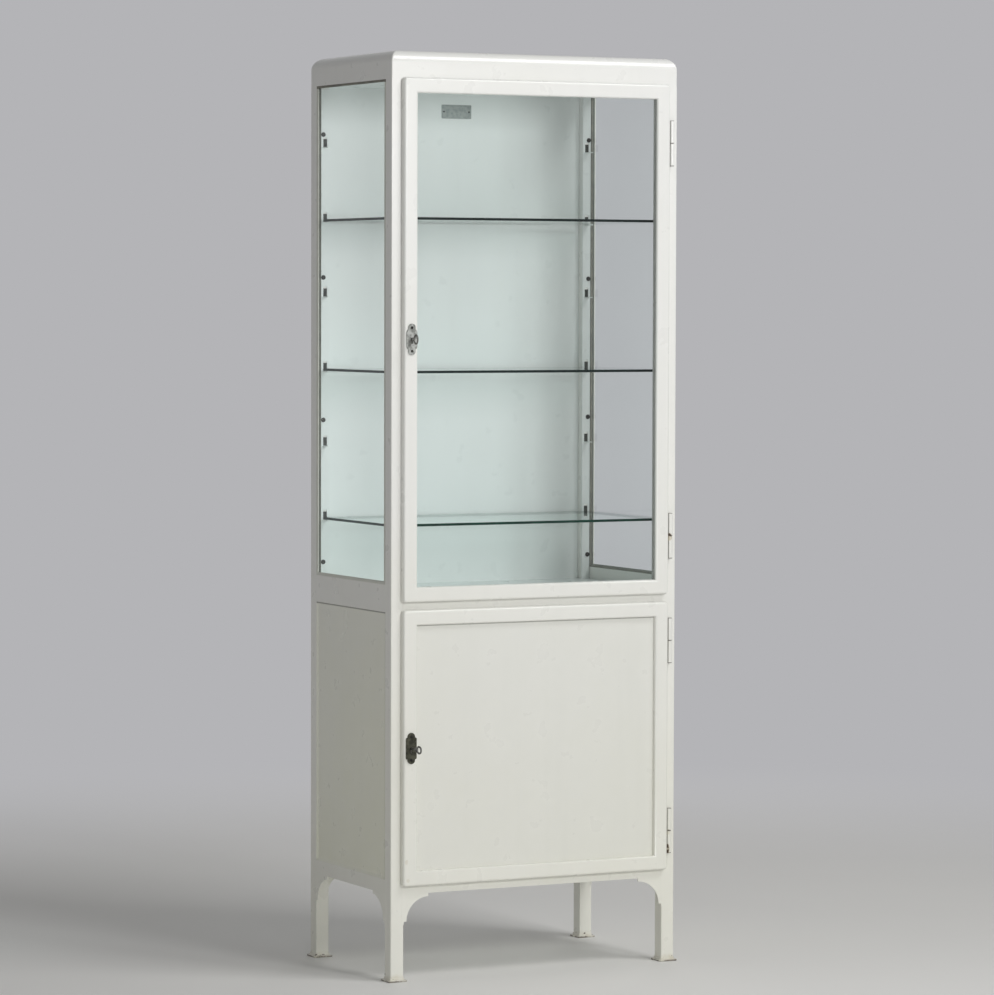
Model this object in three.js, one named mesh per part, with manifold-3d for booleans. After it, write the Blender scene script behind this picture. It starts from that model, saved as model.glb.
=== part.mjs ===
// Glass-door instrument cabinet: a welded steel frame on four legs, a glazed upper case with three
// glass shelves, and a steel cupboard below. Millimetres, +X to the right, +Y to the back, +Z up.

import * as THREE from "three";
import { mergeVertices } from "three/addons/utils/BufferGeometryUtils.js";
import Module from "manifold-3d";

const wasm = await Module();
wasm.setup();

// Overall size over the posts
const width = 610;
const depth = 364;
const height = 1750;

// Tube, sheet and clearances
const postSide = 27;
const postCornerRadius = 2;
const tubeWall = 1.5;
const sheet = 1.5;
const fitGap = 0.25; // between a let-in piece and its seat
const cutOver = 1; // how far a cutting solid runs past the face it opens

// Feet
const footSide = 39;
const footThickness = 5;

// Rails and levels above the floor
const railBottom = 165;
const railHeight = 27;
const midRailBottom = 697;
const upstandHeight = 25; // sill on the side middle rails, under the windows

// Quarter-round brackets between the legs and the bottom rails
const bracketSize = 52;
const bracketEnd = 6;
const bracketThickness = 3;

// Top cap
const capHeight = 54;
const capEdgeRadius = 22;

// Panels and floors
const sidePanelRecess = 5; // from the posts' outer face
const backPanelRecess = 12.5; // from the posts' rear face
const floorFrontInset = 2; // floor edges behind the posts' front face

// Side windows
const sideGlassThickness = 4;
const channelInset = 1; // channel behind the posts' outer face
const channelLip = 1.25;
const channelReach = 4; // lip into the window

// Shelf strips with bent tabs, and the glass shelves on them
const stripWidth = 18;
const stripThickness = 1.5;
const stripInset = 0.5; // from the posts' inner corner
const stripTopGap = 6;
const tabWidth = 8;
const tabLength = 20;
const tabWindowHeight = 19;
const firstTabHeight = 131; // above the middle floor
const tabPitch = 144.5;
const shelfThickness = 5;
const shelfSideGap = 7; // to the window channels
const shelfEndGap = 2.5; // to the shelf strips
const shelfNames = ["lower", "middle", "upper"];
const tabCountPerShelf = 2;

// Bare plate on the back wall
const plateWidth = 65;
const plateHeight = 27;
const plateThickness = 1;
const plateOffset = 3; // to the right of the middle
const plateDrop = 28.5; // below the ceiling

// Doors, laid on the front of the frame
const doorThickness = 12;
const doorGap = 0.5; // between the doors and the frame
const doorSideLap = 6.5;
const upperDoorTopLap = 3;
const upperDoorBottomLap = 8;
const lowerDoorTopLap = 5;
const lowerDoorBottomLap = 12;
const stileWidth = 29;
const doorWall = 1.25;
const revealDepth = 8.5; // door front to the glass or panel
const rebateWidth = 6;
const doorGlassThickness = 3;
const beadDepth = 5;

// Lift-off hinges
const hingeRadius = 5;
const hingeLength = 88;
const hingeChamfer = 1;
const hingeSplit = 0.5; // between the two knuckles
const hingeLug = 6;
const pinRadius = 2.5;
const pinSeat = 20; // pin length in the lower knuckle
const pinReach = 20; // pin length in the upper knuckle
const upperHingeInset = 113; // hinge middle from the door's ends
const lowerHingeInset = 76;

// Locks
const upperLockHeight = 1210;
const lowerLockHeight = 442;
const caseClearance = 1.5; // lock case to the post
const caseDepth = 12;
const caseWall = 1.25;
const beadNotchGap = 1.25; // lock case to the glazing bead
const boltThickness = 5;
const boltFront = 2.5; // behind the door's back
const boltWeb = 3; // metal under the bolt's notch
const boltLash = 2; // each side of the key's bit
const boltHeel = 1.75; // metal behind the bolt's notch
const keeperGap = 0.75;

// Keys and escutcheons
const keyShaftRadius = 2.5;
const keyTipGap = 1.25;
const keyBitReach = 5.5;
const keyBitThickness = 2;
const keyBitOver = 1; // bit wider than the bolt, each side
const keyBitGap = 0.75;
const keyBowThickness = 3;
const keyBowBar = 3.5;
const upperBow = { reach: 28, length: 18, height: 20 };
const lowerBow = { reach: 46, length: 22, height: 16 };
const escutcheonWidth = 22;
const escutcheonBody = 41;
const escutcheonHeight = 59;
const escutcheonLobe = 8;
const escutcheonCorner = 4;
const escutcheonThickness = 2;

// Rounding
const arcSteps = 4; // half the steps in a corner arc
const roundSteps = 8; // half the steps in a full circle

// Planes worked out from the sizes above
const halfWidth = width / 2;
const halfDepth = depth / 2;
const postInnerX = halfWidth - postSide;
const postInnerY = halfDepth - postSide;
const capBottom = height - capHeight;
const railTop = railBottom + railHeight;
const midRailTop = midRailBottom + railHeight;
const sillTop = midRailTop + upstandHeight;
const middleFloorTop = midRailTop + sheet;
const backPanelRear = halfDepth - backPanelRecess;
const backPanelFront = backPanelRear - sheet;
const channelOuterX = halfWidth - channelInset;
const channelGroove = sideGlassThickness + 2 * fitGap;
const channelInnerX = channelOuterX - 2 * channelLip - channelGroove;
const doorBack = -halfDepth - doorGap;
const doorFront = doorBack - doorThickness;
const doorShoulder = doorFront + revealDepth;
const doorHalfWidth = postInnerX + doorSideLap;
const hingeX = doorHalfWidth + hingeRadius;
const hingeY = (doorFront + doorBack) / 2;
const lockX = -(postInnerX - caseClearance - caseWall - keyBitGap - keyBitReach);
const upperDoor = {
  bottom: midRailTop - upperDoorBottomLap,
  top: capBottom + upperDoorTopLap,
  hingeInset: upperHingeInset,
  lockHeight: upperLockHeight,
};
const lowerDoor = {
  bottom: railTop - lowerDoorBottomLap,
  top: midRailBottom + lowerDoorTopLap,
  hingeInset: lowerHingeInset,
  lockHeight: lowerLockHeight,
};

// The origin lies on the floor under the middle of the whole length from the keys to the rear feet.
const keyReach = Math.max(upperBow.reach, lowerBow.reach);
const frontReach = doorGap + doorThickness + keyReach;
const rearReach = Math.max(0, (footSide - postSide) / 2);
const originShift = (frontReach - rearReach) / 2;

// Geometry helpers

function box(x0, x1, y0, y1, z0, z1) {
  const middle = new THREE.Vector3((x0 + x1) / 2, (y0 + y1) / 2, (z0 + z1) / 2);
  const size = new THREE.Vector3(x1 - x0, y1 - y0, z1 - z0);
  const place = new THREE.Matrix4().compose(middle, new THREE.Quaternion(), size);
  return new THREE.BoxGeometry(1, 1, 1).applyMatrix4(place);
}

// A flat shape made solid between two planes. The shape lies in the plane named: xy, xz or yz.
function slab(shape, plane, from, to, steps = arcSteps) {
  const x = new THREE.Vector3(1, 0, 0);
  const y = new THREE.Vector3(0, 1, 0);
  const z = new THREE.Vector3(0, 0, 1);
  const span = to - from;
  const place = new THREE.Matrix4();
  if (plane === "xy") place.makeBasis(x, y, z.clone().multiplyScalar(span)).setPosition(0, 0, from);
  if (plane === "xz") place.makeBasis(x, z, y.clone().multiplyScalar(-span)).setPosition(0, to, 0);
  if (plane === "yz") place.makeBasis(y, z, x.clone().multiplyScalar(span)).setPosition(from, 0, 0);
  const flat = { depth: 1, bevelEnabled: false, curveSegments: steps };
  return new THREE.ExtrudeGeometry(shape, flat).applyMatrix4(place);
}

function toSolid(geometry) {
  const bare = geometry.index ? geometry.toNonIndexed() : geometry.clone();
  bare.deleteAttribute("normal");
  bare.deleteAttribute("uv");
  const merged = mergeVertices(bare);
  return new wasm.Manifold(
    new wasm.Mesh({
      numProp: 3,
      vertProperties: merged.attributes.position.array,
      triVerts: new Uint32Array(merged.index.array),
    }),
  );
}

function toGeometry(solid) {
  const mesh = solid.getMesh();
  const geometry = new THREE.BufferGeometry();
  geometry.setAttribute("position", new THREE.BufferAttribute(mesh.vertProperties, 3));
  geometry.setIndex(new THREE.BufferAttribute(mesh.triVerts, 1));
  geometry.computeVertexNormals();
  return geometry;
}

function join(...pieces) {
  return toGeometry(pieces.map(toSolid).reduce((whole, piece) => whole.add(piece)));
}

function cut(base, ...tools) {
  return toGeometry(tools.map(toSolid).reduce((whole, tool) => whole.subtract(tool), toSolid(base)));
}

function common(...pieces) {
  return toGeometry(pieces.map(toSolid).reduce((whole, piece) => whole.intersect(piece)));
}

function disc(radius) {
  return new THREE.Shape().absarc(0, 0, radius, 0, 2 * Math.PI);
}

function roundedRectangle(wide, high, radius) {
  const x = wide / 2;
  const y = high / 2;
  const shape = new THREE.Shape();
  shape.absarc(x - radius, y - radius, radius, 0, Math.PI / 2);
  shape.absarc(radius - x, y - radius, radius, Math.PI / 2, Math.PI);
  shape.absarc(radius - x, radius - y, radius, Math.PI, 1.5 * Math.PI);
  shape.absarc(x - radius, radius - y, radius, 1.5 * Math.PI, 2 * Math.PI);
  shape.closePath();
  return shape;
}

// Finishes

const enamelColour = 0xe9eae4;
const glassColour = 0xcfe0dc;
const nickelColour = 0xa3a5a1;
const bronzeColour = 0x45453a;
const steelColour = 0x8c8d8b;

const enamel = () =>
  new THREE.MeshStandardMaterial({ color: enamelColour, roughness: 0.35, metalness: 0 });
const glass = () =>
  new THREE.MeshStandardMaterial({
    color: glassColour,
    roughness: 0.05,
    metalness: 0,
    transparent: true,
    opacity: 0.3,
  });
const nickel = () =>
  new THREE.MeshStandardMaterial({ color: nickelColour, roughness: 0.35, metalness: 1 });
const bronze = () =>
  new THREE.MeshStandardMaterial({ color: bronzeColour, roughness: 0.5, metalness: 1 });
const bareSteel = () =>
  new THREE.MeshStandardMaterial({ color: steelColour, roughness: 0.4, metalness: 1 });

function add(group, name, geometry, material) {
  const mesh = new THREE.Mesh(geometry, material);
  mesh.name = name;
  group.add(mesh);
  return mesh;
}

// Frame: posts, feet, rails and brackets

const sides = { left: -1, right: 1 };
const ends = { front: -1, rear: 1 };

function post(x, y) {
  const outline = roundedRectangle(postSide, postSide, postCornerRadius);
  const bore = postSide / 2 - tubeWall;
  const tube = cut(
    slab(outline, "xy", footThickness, capBottom),
    box(-bore, bore, -bore, bore, footThickness - cutOver, capBottom + cutOver),
  );
  return tube.translate(x, y, 0);
}

// The slots in the front left post that take the bolts.
function keeperSlot(door) {
  const y0 = doorBack + boltFront;
  return box(
    -postInnerX - tubeWall - cutOver,
    -postInnerX + cutOver,
    y0 - keeperGap,
    y0 + boltThickness + keeperGap,
    door.lockHeight + boltBottom - keeperGap,
    door.lockHeight + boltTop + keeperGap,
  );
}

function addPostsAndFeet(group) {
  for (const [end, back] of Object.entries(ends)) {
    for (const [side, right] of Object.entries(sides)) {
      const x = right * (halfWidth - postSide / 2);
      const y = back * (halfDepth - postSide / 2);
      const half = footSide / 2;
      const tube = post(x, y);
      const takesBolts = end === "front" && side === "left";
      const whole = takesBolts ? cut(tube, keeperSlot(upperDoor), keeperSlot(lowerDoor)) : tube;
      add(group, `${end}_${side}_post`, whole, enamel());
      const plate = box(x - half, x + half, y - half, y + half, 0, footThickness);
      add(group, `${end}_${side}_foot`, plate, enamel());
    }
  }
}

// A straight square tube between two posts, open at both ends.
function railAlongX(y0, y1, z0, z1) {
  const w = tubeWall;
  return cut(
    box(-postInnerX, postInnerX, y0, y1, z0, z1),
    box(-postInnerX - cutOver, postInnerX + cutOver, y0 + w, y1 - w, z0 + w, z1 - w),
  );
}

function railAlongY(x0, x1, z0, z1) {
  const w = tubeWall;
  return cut(
    box(x0, x1, -postInnerY, postInnerY, z0, z1),
    box(x0 + w, x1 - w, -postInnerY - cutOver, postInnerY + cutOver, z0 + w, z1 - w),
  );
}

// The outline of a bottom rail's face with a bracket hanging at each end.
function apronFace(half) {
  const foot = railBottom - bracketSize;
  const radius = bracketSize - bracketEnd;
  const face = new THREE.Shape();
  face.moveTo(-half, railTop);
  face.lineTo(-half, foot);
  face.lineTo(-half + bracketEnd, foot);
  face.absarc(-half + bracketSize, foot, radius, Math.PI, Math.PI / 2, true);
  face.lineTo(-half + bracketSize, railBottom);
  face.lineTo(half - bracketSize, railBottom);
  face.lineTo(half - bracketSize, railBottom - bracketEnd);
  face.absarc(half - bracketSize, foot, radius, Math.PI / 2, 0, true);
  face.lineTo(half, foot);
  face.lineTo(half, railTop);
  face.closePath();
  return face;
}

function addRails(group) {
  for (const [end, back] of Object.entries(ends)) {
    const outer = back * halfDepth;
    const inner = back * postInnerY;
    const skin = outer - back * bracketThickness;
    const rail = railAlongX(Math.min(outer, inner), Math.max(outer, inner), railBottom, railTop);
    const face = slab(apronFace(postInnerX), "xz", Math.min(outer, skin), Math.max(outer, skin));
    add(group, `${end}_apron`, join(rail, face), enamel());
  }
  for (const [side, right] of Object.entries(sides)) {
    const outer = right * halfWidth;
    const inner = right * postInnerX;
    const skin = outer - right * bracketThickness;
    const low = Math.min(outer, inner);
    const high = Math.max(outer, inner);
    const rail = railAlongY(low, high, railBottom, railTop);
    const face = slab(apronFace(postInnerY), "yz", Math.min(outer, skin), Math.max(outer, skin));
    add(group, `${side}_apron`, join(rail, face), enamel());
    const sillInner = right * channelInnerX;
    const sillX = [Math.min(outer, sillInner), Math.max(outer, sillInner)];
    const midRail = railAlongY(low, high, midRailBottom, midRailTop);
    const sill = box(...sillX, -postInnerY, postInnerY, midRailTop - tubeWall, sillTop);
    add(group, `${side}_mid_rail`, join(midRail, sill), enamel());
  }
  const frontRail = railAlongX(-halfDepth, -postInnerY, midRailBottom, midRailTop);
  add(group, "front_mid_rail", frontRail, enamel());
}

// Top cap: a formed lid with rounded top edges, closed below by the ceiling sheet

// One face of the lid, with its two upper corners rounded.
function lidFace(half, bottom, top, radius) {
  const face = new THREE.Shape();
  face.moveTo(-half, bottom);
  face.lineTo(half, bottom);
  face.lineTo(half, top - radius);
  face.absarc(half - radius, top - radius, radius, 0, Math.PI / 2);
  face.absarc(radius - half, top - radius, radius, Math.PI / 2, Math.PI);
  face.closePath();
  return face;
}

function lidBlock(inset, bottom) {
  const x = halfWidth - inset;
  const y = halfDepth - inset;
  const top = height - inset;
  const radius = capEdgeRadius - inset;
  const plan = roundedRectangle(2 * x, 2 * y, Math.max(postCornerRadius - inset, fitGap));
  return common(
    slab(plan, "xy", bottom, top),
    slab(lidFace(x, bottom, top, radius), "xz", -halfDepth, halfDepth),
    slab(lidFace(y, bottom, top, radius), "yz", -halfWidth, halfWidth),
  );
}

function addTop(group) {
  add(group, "top_cap", cut(lidBlock(0, capBottom), lidBlock(sheet, capBottom - cutOver)), enamel());
  const x = halfWidth - sheet - fitGap;
  const y = halfDepth - sheet - fitGap;
  add(group, "ceiling_panel", box(-x, x, -y, y, capBottom, capBottom + sheet), enamel());
}

// Panels and floors

// A floor sheet on the rails, notched round the four posts.
function floorSheet(z, sideX) {
  const x = postInnerX - fitGap;
  const y = postInnerY - fitGap;
  const front = -halfDepth + floorFrontInset;
  const rear = backPanelFront - fitGap;
  return join(box(-x, x, front, rear, z, z + sheet), box(-sideX, sideX, -y, y, z, z + sheet));
}

function addPanels(group) {
  const between = postInnerX - fitGap;
  const back = box(-between, between, backPanelFront, backPanelRear, railTop, capBottom);
  add(group, "back_panel", back, enamel());
  for (const [side, right] of Object.entries(sides)) {
    const outer = right * (halfWidth - sidePanelRecess);
    const inner = outer - right * sheet;
    const y = postInnerY - fitGap;
    const x0 = Math.min(outer, inner);
    const panel = box(x0, x0 + sheet, -y, y, railTop, midRailBottom);
    add(group, `${side}_lower_panel`, panel, enamel());
  }
  const lowerPanelInner = halfWidth - sidePanelRecess - sheet;
  add(group, "bottom_floor", floorSheet(railTop, lowerPanelInner - fitGap), enamel());
  add(group, "middle_floor", floorSheet(midRailTop, channelInnerX - fitGap), enamel());
  const plateX = plateWidth / 2;
  const plateTop = capBottom - plateDrop;
  const plateFront = backPanelFront - plateThickness;
  const plate = box(
    plateOffset - plateX,
    plateOffset + plateX,
    plateFront,
    backPanelFront,
    plateTop - plateHeight,
    plateTop,
  );
  add(group, "blank_plate", plate, nickel());
}

// Side windows: a grooved channel round each pane

function windowChannel(right) {
  const outer = right * channelOuterX;
  const inner = right * channelInnerX;
  const x0 = Math.min(outer, inner);
  const x1 = Math.max(outer, inner);
  const glazed = (inset) => ({
    y: postInnerY - inset,
    z0: sillTop + inset,
    z1: capBottom - inset,
  });
  const rim = glazed(0);
  const groove = glazed(channelLip);
  const sight = glazed(channelReach);
  return cut(
    box(x0, x1, -rim.y, rim.y, rim.z0, rim.z1),
    box(x0 + channelLip, x1 - channelLip, -groove.y, groove.y, groove.z0, groove.z1),
    box(x0 - cutOver, x1 + cutOver, -sight.y, sight.y, sight.z0, sight.z1),
  );
}

function addWindows(group) {
  for (const [side, right] of Object.entries(sides)) {
    add(group, `${side}_glazing_channel`, windowChannel(right), enamel());
    const middle = right * (channelOuterX - channelLip - channelGroove / 2);
    const x = sideGlassThickness / 2;
    const y = postInnerY - channelLip - fitGap;
    const z0 = sillTop + channelLip;
    const z1 = capBottom - channelLip - fitGap;
    add(group, `${side}_side_glass`, box(middle - x, middle + x, -y, y, z0, z1), glass());
  }
}

// Shelf strips: each tab is punched out of the strip and bent level, which leaves a window above it

const tabTop = (index) => middleFloorTop + firstTabHeight + index * tabPitch;
const stripTop = capBottom - stripTopGap;
const tabRoom = stripTop - tabWindowHeight - tabTop(0);
const tabCount = 1 + Math.floor(tabRoom / tabPitch);

function shelfStrip(right, back) {
  const seat = back * postInnerY;
  const face = seat - back * stripThickness;
  const tip = face - back * tabLength;
  const inner = right * (postInnerX + stripInset);
  const outer = inner + right * stripWidth;
  const middle = (inner + outer) / 2;
  const between = (a, b) => [Math.min(a, b), Math.max(a, b)];
  const bar = box(...between(inner, outer), ...between(seat, face), middleFloorTop, stripTop);
  const tabX = [middle - tabWidth / 2, middle + tabWidth / 2];
  const indices = [...Array(tabCount).keys()];
  const windows = indices.map((i) =>
    box(...tabX, ...between(seat + back * cutOver, tip), tabTop(i), tabTop(i) + tabWindowHeight),
  );
  const tabs = indices.map((i) =>
    box(...tabX, ...between(seat, tip), tabTop(i) - stripThickness, tabTop(i)),
  );
  return join(cut(bar, ...windows), ...tabs);
}

function addShelves(group) {
  for (const [end, back] of Object.entries(ends)) {
    for (const [side, right] of Object.entries(sides)) {
      add(group, `${end}_${side}_shelf_strip`, shelfStrip(right, back), enamel());
    }
  }
  const x = channelInnerX - shelfSideGap;
  const y = postInnerY - stripThickness - shelfEndGap;
  shelfNames.forEach((level, index) => {
    const z = tabTop(index * tabCountPerShelf);
    add(group, `${level}_glass_shelf`, box(-x, x, -y, y, z, z + shelfThickness), glass());
  });
}

// Doors: a hollow box-section frame, rebated at the back for the glass or the panel

// A block or a ring in the door's plane, measured inwards from the door's edge.
function doorBlock(door, inset, y0, y1) {
  const x = doorHalfWidth - inset;
  return box(-x, x, y0, y1, door.bottom + inset, door.top - inset);
}

function doorRing(door, outerInset, innerInset, y0, y1) {
  return cut(
    doorBlock(door, outerInset, y0, y1),
    doorBlock(door, innerInset, y0 - cutOver, y1 + cutOver),
  );
}

// The keyhole's round part and the slot under it for the bit.
function keyhole(y0, y1) {
  const slot = keyBitThickness / 2 + keyBitGap;
  const round = slab(disc(keyShaftRadius + keyBitGap), "xz", y0, y1, roundSteps);
  return join(round, box(-slot, slot, y0, y1, -keyBitReach - keyBitGap, 0));
}

function doorFrame(door) {
  const rebateInset = stileWidth - rebateWidth;
  const hollowFront = doorFront + doorWall;
  const hole = keyhole(doorFront - cutOver, doorBack + cutOver);
  return cut(
    doorRing(door, 0, stileWidth, doorFront, doorBack),
    doorBlock(door, rebateInset, doorShoulder, doorBack + cutOver),
    doorRing(door, doorWall, stileWidth - doorWall, hollowFront, doorShoulder - doorWall),
    doorRing(door, doorWall, rebateInset - doorWall, hollowFront, doorBack - doorWall),
    hole.translate(lockX, 0, door.lockHeight),
  );
}

function addUpperDoor(group) {
  const seatInset = stileWidth - rebateWidth + fitGap;
  const glassBack = doorShoulder + doorGlassThickness;
  const beadBack = glassBack + beadDepth;
  const notch = lockCaseBlock(beadNotchGap).translate(lockX, 0, upperDoor.lockHeight);
  const bead = cut(doorRing(upperDoor, seatInset, stileWidth, glassBack, beadBack), notch);
  add(group, "upper_door_frame", doorFrame(upperDoor), enamel());
  add(group, "upper_door_glass", doorBlock(upperDoor, seatInset, doorShoulder, glassBack), glass());
  add(group, "upper_glass_bead", bead, enamel());
}

function addLowerDoor(group) {
  const seatInset = stileWidth - rebateWidth + fitGap;
  const panel = doorBlock(lowerDoor, seatInset, doorShoulder, doorShoulder + sheet);
  add(group, "lower_door_frame", doorFrame(lowerDoor), enamel());
  add(group, "lower_door_panel", panel, enamel());
}

// Lift-off hinges: the lower knuckle and its pin belong to the frame, the upper knuckle to the door

function barrel(z0, z1) {
  const r = hingeRadius;
  const c = hingeChamfer;
  const profile = [
    new THREE.Vector2(0, z0),
    new THREE.Vector2(r - c, z0),
    new THREE.Vector2(r, z0 + c),
    new THREE.Vector2(r, z1 - c),
    new THREE.Vector2(r - c, z1),
    new THREE.Vector2(0, z1),
  ];
  return new THREE.LatheGeometry(profile, 2 * roundSteps).rotateX(Math.PI / 2);
}

function addHinge(frameGroup, doorGroup, name, z) {
  const half = hingeLength / 2;
  const split = hingeSplit / 2;
  const bore = pinRadius + fitGap;
  const lug = hingeLug / 2;
  const toPost = -halfDepth - hingeY;
  const lower = cut(
    join(barrel(-half, -split), box(-lug, lug, 0, toPost, -half + hingeChamfer, -split - hingeChamfer)),
    slab(disc(bore), "xy", -split - pinSeat, -split + cutOver, roundSteps),
  );
  const upper = cut(
    join(barrel(split, half), box(-hingeRadius, 0, -lug, lug, split + hingeChamfer, half - hingeChamfer)),
    slab(disc(bore), "xy", split - cutOver, split + pinReach + fitGap, roundSteps),
  );
  const pin = slab(disc(pinRadius), "xy", -split - pinSeat, split + pinReach, roundSteps);
  const pieces = [
    [frameGroup, "frame_knuckle", lower, enamel()],
    [frameGroup, "pin", pin, bareSteel()],
    [doorGroup, "door_knuckle", upper, enamel()],
  ];
  for (const [group, piece, geometry, material] of pieces) {
    add(group, `${name}_hinge_${piece}`, geometry, material).position.set(hingeX, hingeY, z);
  }
}

function addHinges(frameGroup, doorGroup, name, door) {
  addHinge(frameGroup, doorGroup, `${name}_top`, door.top - door.hingeInset);
  addHinge(frameGroup, doorGroup, `${name}_bottom`, door.bottom + door.hingeInset);
}

// Locks: measured from the key's axis. The key's bit points down, stands in the bolt's notch and
// pushes the bolt to the left into the post as the key turns a quarter clockwise.

const boltTop = -keyShaftRadius - fitGap;
const notchFloor = -keyBitReach - keyBitGap;
const boltBottom = notchFloor - boltWeb;
const notchHalf = keyBitThickness / 2 + boltLash;
const boltTail = notchHalf + boltHeel;
const caseLeft = -keyBitReach - keyBitGap - caseWall;
const caseRight = boltTail + fitGap + caseWall;
const caseFloor = boltBottom - fitGap - caseWall;
const caseRoof = keyBitReach + keyBitGap + caseWall;
const caseBack = doorBack + caseDepth;

function lockCaseBlock(gap) {
  return box(
    caseLeft - gap,
    caseRight + gap,
    doorBack,
    caseBack + gap,
    caseFloor - gap,
    caseRoof + gap,
  );
}

function lockCase() {
  const w = caseWall;
  const y0 = doorBack + boltFront;
  return cut(
    lockCaseBlock(0),
    box(
      caseLeft + w,
      caseRight - w,
      doorBack - cutOver,
      caseBack - w,
      caseFloor + w,
      caseRoof - w,
    ),
    box(
      caseLeft - cutOver,
      caseLeft + w + cutOver,
      y0 - fitGap,
      y0 + boltThickness + fitGap,
      boltBottom - fitGap,
      boltTop + fitGap,
    ),
  );
}

function bolt() {
  const y0 = doorBack + boltFront;
  const y1 = y0 + boltThickness;
  return cut(
    box(caseLeft, boltTail, y0, y1, boltBottom, boltTop),
    box(-notchHalf, notchHalf, y0 - cutOver, y1 + cutOver, notchFloor, boltTop + cutOver),
  );
}

function key(bow) {
  const bowFront = doorFront - bow.reach;
  const bowMiddle = bowFront + bow.length / 2;
  const bowBack = bowFront + bow.length;
  const tip = caseBack - caseWall - keyTipGap;
  const bitFront = doorBack + boltFront - keyBitOver;
  const bitBack = doorBack + boltFront + boltThickness + keyBitOver;
  const ring = new THREE.Shape().absellipse(0, 0, bow.length / 2, bow.height / 2, 0, 2 * Math.PI);
  const eye = new THREE.Path();
  eye.absellipse(0, 0, bow.length / 2 - keyBowBar, bow.height / 2 - keyBowBar, 0, 2 * Math.PI);
  ring.holes.push(eye);
  const half = keyBowThickness / 2;
  return join(
    slab(ring, "yz", -half, half, roundSteps).translate(0, bowMiddle, 0),
    slab(disc(keyShaftRadius), "xz", bowBack - keyBowBar / 2, tip, roundSteps),
    box(-keyBitThickness / 2, keyBitThickness / 2, bitFront, bitBack, -keyBitReach, 0),
  );
}

function escutcheon() {
  const lobeZ = escutcheonHeight / 2 - escutcheonLobe;
  const y0 = doorFront - escutcheonThickness;
  const body = roundedRectangle(escutcheonWidth, escutcheonBody, escutcheonCorner);
  const lobes = [-lobeZ, lobeZ].map((z) =>
    slab(disc(escutcheonLobe), "xz", y0, doorFront, roundSteps).translate(0, 0, z),
  );
  const plate = join(slab(body, "xz", y0, doorFront), ...lobes);
  return cut(plate, keyhole(y0 - cutOver, doorFront + cutOver));
}

function addLock(group, name, door, bow, finish) {
  const pieces = [
    ["escutcheon", escutcheon(), finish()],
    ["lock_case", lockCase(), bareSteel()],
    ["bolt", bolt(), bareSteel()],
    ["key", key(bow), nickel()],
  ];
  const lock = new THREE.Group();
  lock.position.set(lockX, 0, door.lockHeight);
  for (const [piece, geometry, material] of pieces) add(lock, `${name}_${piece}`, geometry, material);
  group.add(lock);
}

// The whole cabinet

const frameGroup = new THREE.Group();
const upperDoorGroup = new THREE.Group();
const lowerDoorGroup = new THREE.Group();

addPostsAndFeet(frameGroup);
addRails(frameGroup);
addTop(frameGroup);
addPanels(frameGroup);
addWindows(frameGroup);
addShelves(frameGroup);
addUpperDoor(upperDoorGroup);
addLowerDoor(lowerDoorGroup);
addHinges(frameGroup, upperDoorGroup, "upper", upperDoor);
addHinges(frameGroup, lowerDoorGroup, "lower", lowerDoor);
addLock(upperDoorGroup, "upper", upperDoor, upperBow, nickel);
addLock(lowerDoorGroup, "lower", lowerDoor, lowerBow, bronze);

const assembly = new THREE.Group();
assembly.add(frameGroup, upperDoorGroup, lowerDoorGroup);
assembly.position.y = originShift;

const cabinet = new THREE.Group();
cabinet.add(assembly);

export default cabinet;
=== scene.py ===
import math
import bmesh
import bpy
from mathutils import Matrix, Vector


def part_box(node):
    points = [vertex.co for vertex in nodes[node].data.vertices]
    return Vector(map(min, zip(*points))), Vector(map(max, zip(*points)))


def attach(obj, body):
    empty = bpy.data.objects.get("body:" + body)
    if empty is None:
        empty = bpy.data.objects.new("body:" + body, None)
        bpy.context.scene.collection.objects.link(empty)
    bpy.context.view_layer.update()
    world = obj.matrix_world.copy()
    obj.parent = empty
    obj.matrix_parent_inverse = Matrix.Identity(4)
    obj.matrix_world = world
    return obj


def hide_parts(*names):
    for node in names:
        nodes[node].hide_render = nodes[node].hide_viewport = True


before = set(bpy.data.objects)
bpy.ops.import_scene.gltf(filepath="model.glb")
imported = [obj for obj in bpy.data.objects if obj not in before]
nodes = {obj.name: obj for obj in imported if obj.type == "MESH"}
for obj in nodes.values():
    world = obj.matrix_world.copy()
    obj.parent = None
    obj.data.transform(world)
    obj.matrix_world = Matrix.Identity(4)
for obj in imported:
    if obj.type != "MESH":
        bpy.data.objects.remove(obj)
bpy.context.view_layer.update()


# Shader maths

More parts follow.
